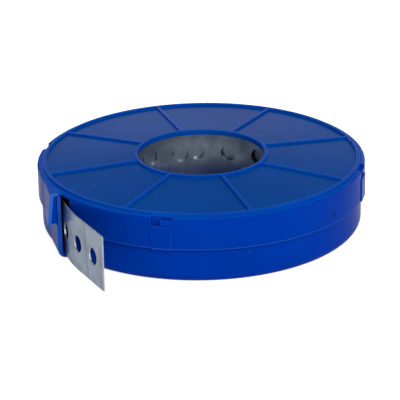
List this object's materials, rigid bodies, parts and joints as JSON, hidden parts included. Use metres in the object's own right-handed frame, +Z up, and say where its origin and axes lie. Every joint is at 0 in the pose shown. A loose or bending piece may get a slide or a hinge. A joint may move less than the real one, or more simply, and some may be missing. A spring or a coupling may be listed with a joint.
{
  "type": "perforated steel strap in dispenser case",
  "caption": "Galvanised perforated steel strap wound in a round blue plastic dispenser case with a ribbed top, snap clips, a hub opening and a side outlet for the strap's tail.",
  "frame": {"origin": "on the case axis, at the level of the underside that the case lies on", "axes": "+Z up along the hub opening; the flat end of the strap's tail runs along -Y at the -X side of the case"},
  "size_m": [0.1244, 0.1198, 0.0261],
  "materials": {
    "case_lower": "moulded polypropylene, satin gloss",
    "case_upper": "moulded polypropylene, satin gloss",
    "galvanised_strap": "galvanised, slit edges"
  },
  "bodies": {
    "root": {"lower_shell": "case_lower", "upper_shell": "case_upper", "strap": "galvanised_strap"}
  },
  "joints": []
}
